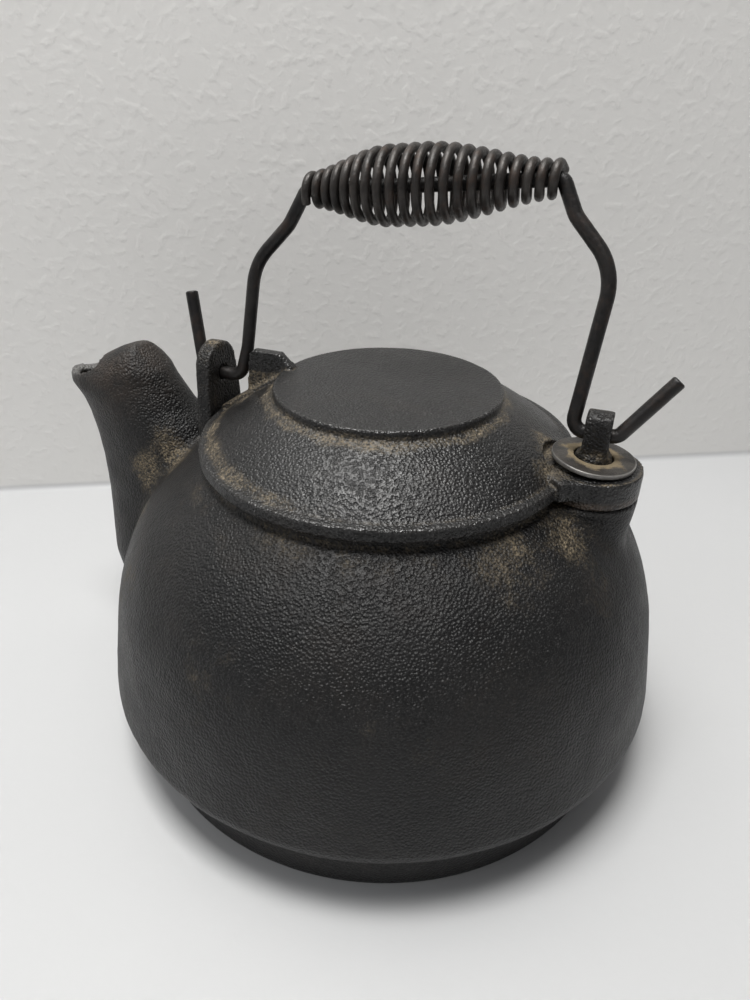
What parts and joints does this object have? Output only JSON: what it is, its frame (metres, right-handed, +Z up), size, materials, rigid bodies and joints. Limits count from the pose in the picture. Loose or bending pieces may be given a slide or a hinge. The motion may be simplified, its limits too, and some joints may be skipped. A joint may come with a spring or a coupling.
{
  "type": "cast iron tea kettle",
  "caption": "Squat cast iron tea kettle with a hooded spout, a lid that swings sideways on a post, and a wire bail with a wound wire grip.",
  "frame": {"origin": "centre of the flat foot, on the surface that the kettle stands on", "axes": "+Z up; -X the way the spout points; +X towards the hinge post; +Y to the right of someone who looks the way the spout points"},
  "size_m": [0.278, 0.24, 0.2389],
  "materials": {
    "cast_iron": "seasoned sand-cast skin, fine pebble, brown dust in the hollows",
    "lid_iron": "seasoned sand-cast skin with a low sheen",
    "washer_steel": "dark sheet steel, edge rubbed bright",
    "bail_wire": "dark drawn wire, lightly rusted",
    "grip_wire": "dark wound wire, rubbed by hands"
  },
  "bodies": {
    "kettle": {"kettle_body": "cast_iron"},
    "lid": {"lid": "lid_iron"},
    "washer": {"retaining_washer": "washer_steel"},
    "bail": {"bail": "bail_wire", "coil_grip": "grip_wire"}
  },
  "joints": [
    {"name": "lid_swivel", "type": "hinge", "parent": "kettle", "child": "lid", "pos_m": [0.0812, 0, 0.13], "axis": [0, 0, 1], "range_deg": [0, 110]},
    {"name": "washer_spin", "type": "hinge", "parent": "kettle", "child": "washer", "pos_m": [0.0812, 0, 0.1372], "axis": [0.0698, 0, 0.9976], "continuous": true},
    {"name": "bail_swing", "type": "hinge", "parent": "kettle", "child": "bail", "pos_m": [0, 0, 0.1475], "axis": [1, 0, 0], "range_deg": [-74, 74]}
  ]
}
